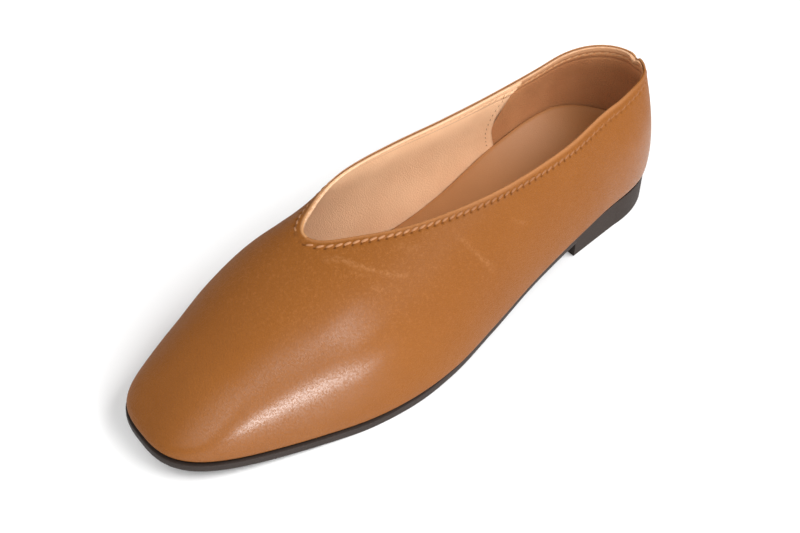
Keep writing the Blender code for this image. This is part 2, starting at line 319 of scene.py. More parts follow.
class Topline:
    """The edge of the opening, from the throat along the inner side, round the heel and along the outer."""

    def __init__(self, columns):
        self.points = FACE[columns, 0]
        self.normals = FACE_NORMAL[columns, 0]
        runs = running(step_lengths(self.points))
        self.along = runs - runs[len(columns) // 2]
        ring = np.concatenate([self.points[-2:-1], self.points, self.points[1:2]])
        self.ahead = unit(ring[2:] - ring[:-2])
        away = unit(np.cross(self.ahead, self.normals))
        uphill = self.points - FACE[columns, 1]
        self.away = away * np.sign(np.sum(away * uphill))
        self.tree = KDTree(len(self.points))
        for index, point in enumerate(self.points):
            self.tree.insert(point, index)
        self.tree.balance()

    def measure(self, points):
        """Millimetres along the topline and below it, and the nearest place on it."""
        near = [self.tree.find(point)[1] for point in points.reshape(-1, 3)]
        near = np.array(near).reshape(points.shape[:-1])
        offset = points - self.points[near]
        onward = np.sum(offset * self.ahead[near], axis=-1)
        below = np.linalg.norm(offset - onward[..., None] * self.ahead[near], axis=-1)
        return self.along[near] + onward / MM, below / MM, near

    def place(self, along):
        """Point, normal, direction ahead and direction away from the leather, at a distance along."""
        columns = (self.points, self.normals, self.ahead, self.away)
        return [read_at(along, self.along, values) for values in columns]


topline = Topline(np.arange(INNER_THROAT, OUTER_THROAT + 1))
ALONG, BELOW, NEAR = topline.measure(FACE)
print("topline:", round(topline.along[-1] - topline.along[0], 1), "mm round")

# %% [markdown]
# ## Making pieces
# Each sheet of leather is a flat grid made by one operator, whose points are then moved on to the last.
# Points that meet, at the ridge of the vamp or the tip of the toe, are welded. Faces that a grid has too
# many, such as a folded edge where there is no opening, are deleted first.


# %% Sheets from a grid
WELD = 0.004


def grid_order(values):
    return values.swapaxes(0, 1).reshape(-1, *values.shape[2:])


def moved_grid(lines):
    """A flat grid made by one operator, with its points moved to lines of points."""
    columns, rows = lines.shape[:2]
    shape = bmesh.new()
    bmesh.ops.create_grid(shape, x_segments=columns - 1, y_segments=rows - 1, size=1.0)
    for vertex, point in zip(shape.verts, grid_order(lines)):
        vertex.co = point
    return shape


def sheet_from_grid(lines, drop, **marks):
    """A moved grid with named measures on its points and unwanted faces left out."""
    shape = moved_grid(lines)
    for name, values in marks.items():
        layer = shape.verts.layers.float.new(name)
        for vertex, value in zip(shape.verts, grid_order(values)):
            vertex[layer] = value
    unwanted = {vertex for vertex, dropped in zip(shape.verts, grid_order(drop)) if dropped}
    extra = [face for face in shape.faces if all(vertex in unwanted for vertex in face.verts)]
    bmesh.ops.delete(shape, geom=extra, context="FACES")
    rim = [vertex for vertex in shape.verts if vertex.is_boundary]
    bmesh.ops.remove_doubles(shape, verts=rim, dist=WELD * MM)
    bmesh.ops.dissolve_degenerate(shape, edges=shape.edges, dist=WELD * MM / 4)
    bmesh.ops.recalc_face_normals(shape, faces=shape.faces)
    return shape


def put_in_scene(name, data):
    thing = bpy.data.objects.new(name, data)
    bpy.context.scene.collection.objects.link(thing)
    return thing


def add_piece(name, shape, finish, replaces=None, crisp=180.0):
    """A finished piece that rides on the shoe with its given finish, and hides the solid it replaces."""
    open_edges = sum(not edge.is_manifold for edge in shape.edges)
    mesh = bpy.data.meshes.new(name)
    shape.to_mesh(mesh)
    shape.free()
    mesh.materials.append(finish)
    mesh.shade_smooth()
    mesh.set_sharp_from_angle(angle=math.radians(crisp))
    piece = put_in_scene(name, mesh)
    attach(piece, "root")
    if replaces:
        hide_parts(replaces)
    mesh.calc_loop_triangles()
    print(name, len(mesh.loop_triangles), "triangles,", open_edges, "open edges")
    return piece


# %% [markdown]
# ## Finishes from expressions
# A finish is a tree of nodes. Written node by node it is hard to read, so one small class wraps an output
# socket and lets it take part in sums, and another adds any other node with its settings and sockets.


# %% Sockets that take part in sums
class Value:
    """An output socket of a finish. Sums and products of it add Math nodes."""

    def __init__(self, finish, socket):
        self.finish = finish
        self.socket = socket

    def maths(self, operation, first, second=0.0):
        return self.finish.node("ShaderNodeMath", {"operation": operation}, {0: first, 1: second})

    def __add__(self, other):
        return self.maths("ADD", self, other)

    __radd__ = __add__

    def __sub__(self, other):
        return self.maths("SUBTRACT", self, other)

    def __rsub__(self, other):
        return self.maths("SUBTRACT", other, self)

    def __mul__(self, other):
        return self.maths("MULTIPLY", self, other)

    def __abs__(self):
        return self.maths("ABSOLUTE", self)

    def near(self, middle, width):
        """1 where this value is at the middle, falling smoothly to nothing at a width from it."""
        return abs(self - middle).to((0.0, width), (1.0, 0.0))

    def to(self, ends, results):
        """This value mapped smoothly from its two ends to two results."""
        sockets = {"Value": self, 1: ends[0], 2: ends[1], 3: results[0], 4: results[1]}
        return self.finish.node("ShaderNodeMapRange", {"interpolation_type": "SMOOTHSTEP"}, sockets)

    def wave(self, pitch):
        """Distance from the nearest multiple of a pitch."""
        return self.maths("PINGPONG", self, pitch / 2)


def socket_name(word):
    """A shader socket's own name, from a name in lower case."""
    return " ".join("IOR" if part == "ior" else part.capitalize() for part in word.split("_"))


class Finish:
    """A material with one Principled shader, built up from expressions."""

    def __init__(self, name, **constants):
        self.material = bpy.data.materials.new(name)
        self.material.use_nodes = True
        self.tree = self.material.node_tree
        self.shader = self.tree.nodes["Principled BSDF"]
        for socket, value in constants.items():
            self.shader.inputs[socket_name(socket)].default_value = value

    def feed(self, socket, value):
        if isinstance(value, Value):
            self.tree.links.new(value.socket, socket)
        elif socket.type == "RGBA":
            socket.default_value = (*value, 1.0)
        else:
            socket.default_value = value

    def node(self, kind, settings, sockets, output=0):
        made = self.tree.nodes.new(kind)
        for name, value in settings.items():
            setattr(made, name, value)
        for name, value in sockets.items():
            self.feed(made.inputs[name], value)
        return Value(self, made.outputs[output])

    def place(self):
        return self.node("ShaderNodeTexCoord", {}, {}, "Object")

    def axis(self, name):
        return self.node("ShaderNodeSeparateXYZ", {}, {"Vector": self.place()}, name)

    def mark(self, name):
        return self.node("ShaderNodeAttribute", {"attribute_name": name}, {}, "Fac")

    def cloud(self, size, detail=2.0, roughness=0.5):
        """Noise whose patches are about a size across, in millimetres."""
        sockets = {"Vector": self.place(), "Scale": 1 / (size * MM)}
        sockets.update(Detail=detail, Roughness=roughness)
        return self.node("ShaderNodeTexNoise", {}, sockets)

    def pebbles(self, size):
        """Distance from the borders of cells about a size across."""
        sockets = {"Vector": self.place(), "Scale": 1 / (size * MM)}
        return self.node("ShaderNodeTexVoronoi", {"feature": "DISTANCE_TO_EDGE"}, sockets)

    def blend(self, factor, first, second):
        settings = {"data_type": "RGBA", "clamp_factor": True}
        return self.node("ShaderNodeMix", settings, {0: factor, 6: first, 7: second}, 2)

    def layers(self, tone, *coats):
        """A tone with other colours laid over it, each by its own amount."""
        for amount, colour in coats:
            tone = self.blend(amount, tone, colour)
        return tone

    def bump(self, height, depth):
        """A relief of so many millimetres, felt only in the shading."""
        return self.node("ShaderNodeBump", {}, {"Height": height, "Distance": depth * MM, "Strength": 1.0})

    def set(self, **sockets):
        for socket, value in sockets.items():
            self.feed(self.shader.inputs[socket_name(socket)], value)
        return self.material


# %% [markdown]
# ## The leather upper
# The upper is one piece of smooth leather, folded over at the topline and sewn down 3 or 4 mm below it.
# The thread pulls a small dimple at each hole and the leather puffs up between. Where the foot bends, it
# keeps soft creases. All of these are moved along the normals of the last as troughs and ridges, because
# they catch the light.

# %% Relief of the leather
STITCH_PITCH = 3.2
STITCH_BELOW = 3.0
FOLD_OUTER = 0.48
FOLD_INNER = 0.17
FOLD_PULL = 6.0
NOTCH_DEPTH = 1.5
NOTCH_HALF = 1.4
SEAM_HALF = 0.7
SEAM_DEPTH = 0.3
SEAM_BACK_FROM = 0.09
PUFF_HEIGHT = 0.16
PUFF_ABOVE = 1.2
HOLE_DEPTH = 0.28
HOLE_LOWER = 0.45
PUCKER_HEIGHT = 0.09


def hump(value, middle, half):
    return np.exp(-((value - middle) / half) ** 2)


def ramp(value, start, end):
    return np.clip((value - start) / (end - start), 0, 1)


def fold_round(along):
    """Radius of the folded edge, which is pressed thinner along the inner side and round the heel."""
    inner = ramp(along, 4, -6) * ramp(along, topline.along[0] + 3, topline.along[0] + 13)
    return FOLD_OUTER - (FOLD_OUTER - FOLD_INNER) * inner


def fold_fade(below):
    """How much of the fold's pull on the leather is left below the edge."""
    return np.clip(1 - below / FOLD_PULL, 0, 1) ** 2


def back_notch(along):
    """The small dip of the edge over the back seam."""
    return NOTCH_DEPTH * hump(along, 0, NOTCH_HALF)


def to_nearest(value, pitch):
    return np.abs((value + pitch / 2) % pitch - pitch / 2)


# The stitch row on the face: distance from the back seam, and how far below the edge the row runs there.
ROW_PLACES = ((0.0, 3.6), (30.0, 4.2), (54.0, 4.2), (79.0, 3.6), (116.0, 2.9), (141.0, 2.6), (155.0, 2.9),
              (168.0, 3.4), (190.0, 3.3))


def row_at(along):
    return smooth(*np.transpose(ROW_PLACES), np.abs(along))


def sewn_edge(along, below):
    """Height of the folded edge: a puffed band, the sunk stitch line, its holes and the puckers between."""
    row = below - row_at(along)
    band = PUFF_HEIGHT * (hump(row, -PUFF_ABOVE, 0.9) - hump(row, 0, 0.6))
    hole = hump(to_nearest(along, STITCH_PITCH), 0, 0.5) * hump(row, HOLE_LOWER, 0.6)
    pucker = np.cos(2 * np.pi * along / STITCH_PITCH) * hump(row, -0.6, 1.3)
    return band - HOLE_DEPTH * hole - PUCKER_HEIGHT * pucker


# One row for each crease: where it starts and ends on the topline chart, how it bows, how high and how wide.
TALLEST_CREASE = 0.16
TROUGH_AWAY = 1.9
TROUGH_DEPTH = 0.3
WORN_HALF = 1.3
CREASES = (
    (146.0, 18.8, 157.0, 15.4, 0.3, 0.14, 0.8),
    (154.5, 16.4, 170.5, 7.2, 0.5, 0.16, 0.8),
    (158.0, 17.0, 166.0, 13.6, 0.3, 0.07, 0.7),
    (150.0, 24.0, 161.0, 20.0, 0.4, 0.05, 0.9),
    (125.0, 9.0, 119.5, 20.0, 0.6, 0.08, 0.8),
    (121.0, 16.0, 114.0, 28.0, 0.5, 0.13, 0.8),
    (117.5, 20.0, 112.5, 28.5, 0.3, 0.09, 0.7),
    (92.5, 17.5, 100.0, 13.0, 0.2, 0.06, 0.7),
    (139.0, 9.5, 149.0, 6.0, 0.3, 0.08, 1.2),
    (167.0, 9.5, 174.0, 7.6, 0.2, 0.08, 1.0),
)


def creases(along, below):
    """Height of fine ridges with a soft trough on either side, and how much each place is creased."""
    total = np.zeros_like(along)
    creased = np.zeros_like(along)
    for along_from, below_from, along_to, below_to, bow, height, half in CREASES:
        run = np.array([along_to - along_from, below_to - below_from])
        length = np.hypot(*run)
        from_start = np.stack([along - along_from, below - below_from], axis=-1)
        onward = from_start @ run / length ** 2
        arch = 4 * onward * (1 - onward)
        across = from_start @ np.array([-run[1], run[0]]) / length - bow * arch
        rise = height * np.clip(arch, 0, 1) ** 0.5
        troughs = hump(across, TROUGH_AWAY * half, half) + hump(across, -TROUGH_AWAY * half, half)
        total += rise * (hump(across, 0, half) - TROUGH_DEPTH * troughs)
        creased = np.maximum(creased, rise * hump(across, 0, WORN_HALF * half) / TALLEST_CREASE)
    return total, creased


last_x = FACE[..., 0] / MM + BOX_MIDDLE_X
at_back = FACE[..., 1] > SEAM_BACK_FROM
back_seam = SEAM_DEPTH * hump(last_x, 0, SEAM_HALF) * at_back
outer_side = np.arange(len(FACE))[:, None] > HEEL_COLUMN
crease_height, CREASED = (np.where(outer_side, values, 0.0) for values in creases(ALONG, BELOW))
relief = sewn_edge(ALONG, BELOW) + crease_height - back_seam
pull = (fold_round(ALONG) + back_notch(ALONG)) * fold_fade(BELOW)
LEATHER = FACE - topline.away[NEAR] * (pull * MM)[..., None] + FACE_NORMAL * (relief * MM)[..., None]
print("relief from", round(relief.min(), 2), "to", round(relief.max(), 2), "mm")

# %% The folded upper
FOLD_ANGLES = np.radians([180, 155, 130, 105, 80, 55, 30])
HIDDEN_ROWS = np.r_[FACE.shape[1] - 1, np.arange(FACE.shape[1] - 7, 2, -4)]


def skin_rows(values, fold):
    """A measure for the rows of the skin: the hidden side, the fold, the face and the first row again."""
    return np.concatenate([values[:, HIDDEN_ROWS], fold, values, values[:, HIDDEN_ROWS[:1]]], axis=1)


hidden_depth = 2 * fold_round(ALONG[:, HIDDEN_ROWS]) * MM
hidden = LEATHER[:, HIDDEN_ROWS] - FACE_NORMAL[:, HIDDEN_ROWS] * hidden_depth[..., None]
# The edge is rolled over from the hidden side to the face, in every column.
radius = fold_round(ALONG[:, :1]) * MM
out = FACE_NORMAL[:, None, 0] * (radius * (np.cos(FOLD_ANGLES) - 1))[..., None]
over = topline.away[NEAR[:, 0]][:, None] * (radius * np.sin(FOLD_ANGLES))[..., None]
folds = LEATHER[:, :1] + out + over
skin = np.concatenate([hidden, folds, LEATHER, hidden[:, :1]], axis=1)
skin_along = skin_rows(ALONG, np.repeat(ALONG[:, :1], len(FOLD_ANGLES), axis=1))
skin_below = skin_rows(BELOW, np.zeros(folds.shape[:2]))
skin_row = skin_below - row_at(skin_along)
skin_crease = np.zeros(skin.shape[:2])
skin_crease[:, -1 - CREASED.shape[1]:-1] = CREASED
fold_span = np.zeros(skin.shape[:2], bool)
first_fold = len(HIDDEN_ROWS)
fold_span[vamp_columns, first_fold:first_fold + len(FOLD_ANGLES) + 1] = True
upper_shape = sheet_from_grid(skin, drop=fold_span, along=skin_along, below=skin_below, row=skin_row,
                              crease=skin_crease)
upper_tree = BVHTree.FromBMesh(upper_shape)


# %% Caramel leather
def caramel_leather():
    """Hide with patches and grain, pale flecks where it bends, painted shade in the stitch holes, painted
    light on the folded edge, and polish on the toe's side.
    """
    leather = Finish("caramel_leather", coat_roughness=0.25, coat_ior=1.65, specular_ior_level=0.11)
    along, below, row = (leather.mark(name) for name in ("along", "below", "row"))
    x, y, z = (leather.axis(name) for name in "XYZ")
    patches = leather.cloud(28, 3.0)
    mottle = leather.cloud(5, 3.0, 0.6)
    crinkle = leather.cloud(1.3, 4.0, 0.7)
    beads = leather.cloud(0.75, 2.0)
    grain = leather.pebbles(0.75)
    flex = abs(along).to((80.0, 165.0), (0.35, 1.0)) * below.to((25.0, 60.0), (1.0, 0.2))
    # Pale flecks where the leather bends: crinkled grain, partly a painted highlight on the specks of the
    # grain.
    fleck = crinkle.to((0.48, 0.70), (0.0, 0.7)) * flex
    # Paler along the creases: stretch wear, partly a painted highlight along the crease ridges.
    overlay = leather.mark("crease") * crinkle.to((0.40, 0.62), (0.15, 0.8))
    valley = grain.to((0.0, 0.18), (1.0, 0.0))
    # Painted shade: the stitch holes, set a little below the row, are painted dark, as the shadow under the
    # thread.
    hole = along.wave(STITCH_PITCH).near(0.0, 0.85) * row.near(HOLE_LOWER, 0.8)
    hole = hole * abs(along).to((25.0, 70.0), (0.3, 1.0)) * along.to((-40.0, 0.0), (0.3, 1.0))
    # Painted light: the folded edge along the outer side is painted paler, as where it catches the light.
    fold = below.near(0.0, 2.0) * along.to((5.0, 40.0), (0.0, 0.7))
    # Painted light: the folded edge along the inner side and round the heel is painted pale, where it faces
    # away from the lamps.
    lit_inner_edge = below.near(0.0, 1.2) * along.to((0.0, 12.0), (0.8, 0.0))
    shade = x.to((-0.035, -0.012), (0.45, 0.0)) * y.to((-0.06, -0.01), (0.0, 1.0))
    shade = shade + y.to((-0.04, 0.02), (0.0, 0.12))
    seam = abs(x + BOX_MIDDLE_X * MM).near(0.0, 0.5 * MM) * y.to((0.10, 0.11), (0.0, 1.0))
    tone = leather.layers(
        leather.blend(patches, (0.212, 0.0690, 0.0105), (0.249, 0.0862, 0.0142)),
        (mottle * 0.35, (0.197, 0.0614, 0.0079)),
        (fleck, (0.286, 0.1050, 0.0250)),
        (overlay, (0.335, 0.1420, 0.0480)),
        (valley * 0.18, (0.127, 0.0391, 0.0087)),
        (hole * 0.75, (0.068, 0.0209, 0.0055)),
        (fold, (0.390, 0.1700, 0.0650)),
        (lit_inner_edge, (0.56, 0.290, 0.130)),
        (shade, (0.120, 0.0350, 0.0040)),
        (seam * 0.7, (0.064, 0.0200, 0.0073)),
    )
    height = grain.to((0.0, 0.25), (0.0, 0.6)) + beads * 2.0 + mottle * 0.8 + crinkle * flex * 1.5
    polish = y.to((-0.08, -0.03), (1.0, 0.0)) * x.to((0.009, 0.024), (0.0, 1.0))
    polish = polish * z.to((0.010, 0.022), (0.3, 1.0))
    back = y.to((0.07, 0.11), (0.0, 0.5)) * z.to((0.03, 0.05), (1.0, 0.0))
    sheen = x.to((-0.015, 0.010), (0.0, 0.03)) + back * x.to((0.0, 0.015), (0.0, 1.0))
    sparkle = beads.to((0.36, 0.62), (0.45, 1.0))
    dull = x.to((-0.035, -0.012), (0.2, 0.0))
    rough = 0.42 + dull + valley * 0.12 + (mottle - 0.5) * 0.12 + hole * 0.4
    coat = (sheen + polish * 0.9) * sparkle * (1 - hole)
    return leather.set(base_color=tone, roughness=rough, coat_weight=coat, normal=leather.bump(height, 0.09))


add_piece("leather_upper", upper_shape, caramel_leather(), "upper")

# %% [markdown]
# ## Lining and heel grip
# Inside, a pale lining runs from the toe to the quarters, and a browner grip with a nap goes round the
# heel. The lining laps over the grip along a curved edge. Both hang from the topline just below the
# folded edge, where their cut edge shows as a thin pale line. The sewn rim is widest round the heel. They
# are sheets with two faces, so the edges have a real thickness.

# %% Sheets inside the upper
LINING_FROM = 1.05
LINING_TO = 1.80
GRIP_TO = 1.60
LAP_PLACE = 50.0
LAP_UNDER = 6.0
LAP_FADE = 0.1
EDGE_DROP = -0.10
OUTER_DROP = 0.92
INSIDE_SHARES = np.concatenate([1 - np.arange(0, 0.2, 0.011), np.linspace(0.8, 0.06, 26)[1:]])
BACK_ROWS = np.arange(len(INSIDE_SHARES) - 1, 0, -3)
PINCH_HALF = 3.0
PINCH_DEPTH = 1.1
PINCH_REACH = 14.0
RIM_RIDGES = (1.8, 4.2)
RIM_HEIGHT = 0.14
RIM_LINE = 0.18
RIM_GROOVE = 5.9
RIM_DENT = 0.16
RIM_NARROWS = 0.75
THINNEST = 0.3

# The curved edge of the lining over the grip: share of the way up the wall, and station.
LAP_EDGE = ((0.0, 53.0), (0.3, 56.0), (0.5, 57.5), (0.7, 55.0), (0.9, 49.0), (1.0, 45.0))


def lap_at(share):
    return smooth(*np.transpose(LAP_EDGE), share)


def rim_share(along):
    """The sewn rim of the lining is at its full width round the heel and narrows to the throat."""
    return 1 - RIM_NARROWS * ramp(np.abs(along), 35, 150)


def inside_relief(along, below):
    """The rim of the lining: low ridges beside the stitch line and a groove where the rim ends."""
    share = rim_share(along)
    level = below / share
    ridges = RIM_HEIGHT * sum(hump(level, place, 0.8) for place in RIM_RIDGES)
    line = RIM_LINE * hump(level, STITCH_BELOW, 0.5)
    groove = RIM_DENT * hump(level, RIM_GROOVE, 0.6)
    holes = RIM_DENT * hump(to_nearest(along, STITCH_PITCH), 0, 0.6) * hump(level, STITCH_BELOW, 0.6)
    pinch = PINCH_DEPTH * hump(along, 0, PINCH_HALF) * np.clip(1 - below / PINCH_REACH, 0, 1)
    return (ridges - line - groove - holes) * share + pinch


def with_back(values):
    """The rows of the inner face, those of the hidden one behind it, and the first row again."""
    return np.concatenate([values, values[:, BACK_ROWS], values[:, :1]], axis=1)


def inside_sheet(face, thickness, extra, ridge_columns):
    """A sheet hung inside the face: cut edge under the fold, ridge joined past the throat, ends closed."""
    normal = lattice_normals(face)
    if len(ridge_columns):
        normal[ridge_columns, 0] = unit(normal[ridge_columns, 1] + normal[ridge_columns[::-1], 1])
        ridge = face[ridge_columns, 0]
        tip = ridge_columns[step_lengths(ridge).argmin()]
        flat = np.linalg.norm(ridge - face[tip, 0], axis=-1) < WELD * MM
        normal[ridge_columns[flat], 0] = normal[tip - 1, 0]
    along, below, near = topline.measure(face)
    outer = ramp(along, 3, 13) * ramp(along, topline.along[-1] - 3, topline.along[-1] - 15)
    drop = (fold_round(along) + EDGE_DROP + OUTER_DROP * outer + back_notch(along)) * fold_fade(below)
    face = face - topline.away[near] * (drop * MM)[..., None]
    inside = face - normal * ((thickness + extra + inside_relief(along, below)) * MM)[..., None]
    behind = LINING_FROM - 2 * (FOLD_OUTER - fold_round(along)) * ramp(below, 4, 0)
    lifted = np.minimum(behind + extra, thickness + extra - THINNEST)
    outside = face[:, BACK_ROWS] - normal[:, BACK_ROWS] * (lifted[:, BACK_ROWS] * MM)[..., None]
    lines = np.concatenate([inside, outside, inside[:, :1]], axis=1)
    cut = np.zeros(lines.shape[:2])
    cut[:, -2:] = 1.0
    edge = np.zeros(lines.shape[:2], bool)
    edge[ridge_columns, -2:] = True
    levels = with_back(below / rim_share(along))
    shape = sheet_from_grid(lines, edge, along=with_back(along), below=levels, cut=cut)
    bmesh.ops.holes_fill(shape, edges=[side for side in shape.edges if side.is_boundary], sides=0)
    bmesh.ops.recalc_face_normals(shape, faces=shape.faces)
    return shape


# %% The lining of vamp and quarters
lap_line = lap_at(INSIDE_SHARES)
quarter = QUARTER_STATIONS[QUARTER_STATIONS > LAP_PLACE][::2]
quarter = np.append(quarter[quarter < THROAT - 0.1], THROAT)
quarter_share = ((quarter - quarter[0]) / (THROAT - quarter[0]))[:, None]
quarter_grid = lap_line + (THROAT - lap_line) * quarter_share
vamp_grid = np.repeat(np.append(VAMP_STATIONS[1:-1:2], LENGTH)[:, None], len(INSIDE_SHARES), axis=1)
lining_grid = np.concatenate([quarter_grid, vamp_grid])
lining_face = np.concatenate([wall_points(-1, lining_grid, INSIDE_SHARES),
                              wall_points(1, lining_grid, INSIDE_SHARES)[-2::-1]])
lap_run = np.concatenate([lining_grid - lap_line, (lining_grid - lap_line)[-2::-1]])
lap_lift = (GRIP_TO - LINING_FROM) * np.clip(1.5 - lap_run / LAP_UNDER, 0, 1)
lap_lift = lap_lift * np.clip((1 - INSIDE_SHARES) / LAP_FADE, 0, 1)
first = len(quarter) - 1
lining_ridge = np.arange(first, len(lining_face) - first)
lining_shape = inside_sheet(lining_face, LINING_TO, lap_lift, lining_ridge)
lining_tree = BVHTree.FromBMesh(lining_shape)

# %% The heel grip
heel_part = QUARTER_STATIONS[QUARTER_STATIONS < LAP_PLACE][::2]
heel_share = (heel_part / heel_part[-1])[:, None]
grip_grid = (lap_line + LAP_UNDER) * heel_share
grip_face = np.concatenate([wall_points(-1, grip_grid, INSIDE_SHARES)[::-1],
                            wall_points(1, grip_grid, INSIDE_SHARES)[1:]])
grip_shape = inside_sheet(grip_face, GRIP_TO, np.zeros(grip_face.shape[:2]), np.arange(0))
grip_tree = BVHTree.FromBMesh(grip_shape)


# %% Pale lining and brown grip
def lining_leather(name, light, dark, roughness, nap, overlay=None):
    lining = Finish(name, specular_ior_level=0.45)
    below = lining.mark("below")
    along = lining.mark("along")
    patches = lining.cloud(22, 3.0)
    fine = lining.cloud(0.6, 3.0, 0.65)
    grain = lining.pebbles(0.9)
    shown = along.to((-2.0, 10.0), (1.0, 0.0))
    tone = lining.blend(patches.to((0.3, 0.7), (0.0, 1.0)), dark, light)
    tone = lining.blend(fine * nap, tone, dark)
    # Painted shade: the grip is painted darker toward its back and outer side, from a few millimetres below
    # the rim down.
    if overlay:
        darker_back = along.to((-45.0, 0.0), (0.0, 0.65)) * below.to((4.0, 14.0), (0.0, 1.0))
        pale = below.near(0.6, 5.0) * shown * 0.3
        tone = lining.layers(tone, (darker_back, overlay), (pale, (0.62, 0.345, 0.170)))
    hole = along.wave(STITCH_PITCH).near(0.0, 0.7) * below.near(STITCH_BELOW, 0.7)
    tone = lining.layers(
        tone,
        (below.near(0.0, 3.0) * shown * 0.4, (0.60, 0.355, 0.205)),
        # Painted shade in the stitch holes.
        (hole * 0.4, (0.20, 0.080, 0.034)),
        # Painted shade in the groove where the rim ends.
        (below.near(RIM_GROOVE, 0.8) * 0.35, (0.20, 0.075, 0.03)),
        (lining.mark("cut") * shown * 0.55, (0.66, 0.41, 0.25)),
    )
    height = grain.to((0.0, 0.3), (0.0, 1.0)) * 0.6 + fine
    rough = roughness + (fine - 0.5) * 0.15
    return lining.set(base_color=tone, roughness=rough, normal=lining.bump(height, 0.13))


PEACH = lining_leather("peach_lining", (0.94, 0.605, 0.370), (0.86, 0.53, 0.312), 0.45, 0.25)
# The grip's last colour is painted shade toward its back.
NAP_BROWN = lining_leather("brown_grip", (0.56, 0.255, 0.104), (0.445, 0.183, 0.069), 0.85, 0.5,
                           (0.21, 0.070, 0.018))
add_piece("lining", lining_shape, PEACH)
add_piece("heel_grip", grip_shape, NAP_BROWN)

# %% [markdown]
# ## Stitches
# A row of lock stitches holds the folded edge and the lining together, and a second row holds the lining
# on the grip. Each stitch is a small stretched sphere sunk in its dimple. They are joined in one mesh a
# row, since hundreds of objects would be slow, and each sits on the leather itself, found by the nearest
# point.

# %% Rows of thread
THREAD_LONG = 3.3
THREAD_WIDE = 1.1
THREAD_SINK = 0.10
THREAD_SLANT = math.radians(17)
THREAD_FLAT = 0.8
HEEL_DEEPER = 0.30
INNER_DEEPER = 0.18
INSIDE_SINK = 0.3
HIDDEN_SINK = 0.5
STITCH_REACH = 3.0
LAP_PITCH = 2.4
LAP_LONG = 1.5
LAP_WIDE = 0.5
LAP_STITCH_BACK = 3.2
LAP_INSIDE = 2.2
LOOK_AHEAD = 0.5


def sew(shape, spot, normal, ahead, long, wide, sink):
    """Adds one stitch to a row, lying along the seam at a small slant."""
    across = normal.cross(ahead).normalized()
    ahead = across.cross(normal).normalized()
    turned = ahead * math.cos(THREAD_SLANT) + across * math.sin(THREAD_SLANT)
    across = normal.cross(turned)
    frame_axes = Matrix((turned * long, across * wide, normal * wide * THREAD_FLAT)).transposed().to_4x4()
    place = Matrix.Translation(spot - normal * sink * MM) @ frame_axes
    bmesh.ops.create_uvsphere(shape, u_segments=8, v_segments=6, radius=0.5 * MM, matrix=place)


def thread_sink(along):
    """The thread lies deeper round the heel and along the inner side."""
    return THREAD_SINK + HEEL_DEEPER * ramp(abs(along), 90, 45) + INNER_DEEPER * ramp(along, 0, -20)


def topline_row(tree, from_side, below, sink):
    """Stitches all round the topline, on the face of the leather or of the lining."""
    shape = bmesh.new()
    count = int((topline.along[-1] - 1.0) / STITCH_PITCH)
    for stitch in range(-count, count):
        along = (stitch + 0.5) * STITCH_PITCH
        spot, normal, ahead, away = topline.place(along)
        guess = spot - away * float(below(along)) * MM + normal * from_side * MM
        found, facing, _, _ = tree.find_nearest(guess)
        if (found - guess).length < STITCH_REACH * MM:
            sew(shape, found, facing, ahead, THREAD_LONG, THREAD_WIDE, float(sink(along)))
    return shape


def inner_below(along):
    return STITCH_BELOW * rim_share(along)


def inner_sink(along):
    """Toward the throat the inner row sinks out of sight in the narrow rim."""
    return INSIDE_SINK + HIDDEN_SINK * ramp(abs(along), 85, 115)


outer_row = topline_row(upper_tree, 1.0, row_at, thread_sink)
inner_row = topline_row(lining_tree, -3.0, inner_below, inner_sink)
heel_row = topline_row(grip_tree, -3.0, inner_below, inner_sink)
lap_row = bmesh.new()
for side in (-1, 1):
    shares = np.linspace(0.9, 0.3, 200)
    path = wall_points(side, lap_at(shares) + LAP_STITCH_BACK, shares)
    runs = running(step_lengths(path))
    for run in np.arange(1.0, runs[-1], LAP_PITCH):
        spot = read_at(run, runs, path)
        ahead = read_at(run + LOOK_AHEAD, runs, path) - spot
        found, facing, _, _ = lining_tree.find_nearest(spot - Vector((side, 0, 0)) * LAP_INSIDE * MM)
        sew(lap_row, found, facing, ahead, LAP_LONG, LAP_WIDE, THREAD_SINK)


def waxed_thread(name, light, dark, darker_back=None):
    thread = Finish(name)
    twist = thread.cloud(0.35, 1.0)
    tone = thread.blend(twist, dark, light)
    # The thread can be painted darker toward the heel.
    if darker_back:
        tone = thread.blend(thread.axis("Y").to((-0.03, 0.03), (0.0, 0.9)), tone, darker_back)
    return thread.set(base_color=tone, roughness=0.5 + twist * 0.2, normal=thread.bump(twist, 0.04))


# Each row of thread: its piece, its shape, and the name and the colours of its finish.
THREADS = (
    ("topline_stitches", outer_row, "caramel_thread", (0.42, 0.190, 0.078), (0.30, 0.125, 0.042),
     (0.215, 0.074, 0.014)),
    ("lining_stitches", inner_row, "peach_thread", (0.72, 0.44, 0.25), (0.56, 0.31, 0.16)),
    ("grip_stitches", heel_row, "tan_thread", (0.52, 0.28, 0.13), (0.40, 0.20, 0.085)),
    ("lap_stitches", lap_row, "brown_thread", (0.40, 0.19, 0.09), (0.28, 0.12, 0.055)),
)
for piece_name, stitches, *finish in THREADS:
    add_piece(piece_name, stitches, waxed_thread(*finish))

# %% [markdown]
# ## Insole, outsole and heel
# These three are lofted through levels, as the solids are: each level is an outline with a height, and
# the loop round the levels closes the piece at every station. The edges get more levels here, so that
# they are rounded.

# %% Lofted sole pieces
SEAT_GAP = 0.3
SOLE_STATIONS = 200
SOLE_ACROSS = 36
MERGE = 0.01
SOLE_CRISP = 45.0
INSIDE_ROWS = np.linspace(0.05, 0.9, 90)


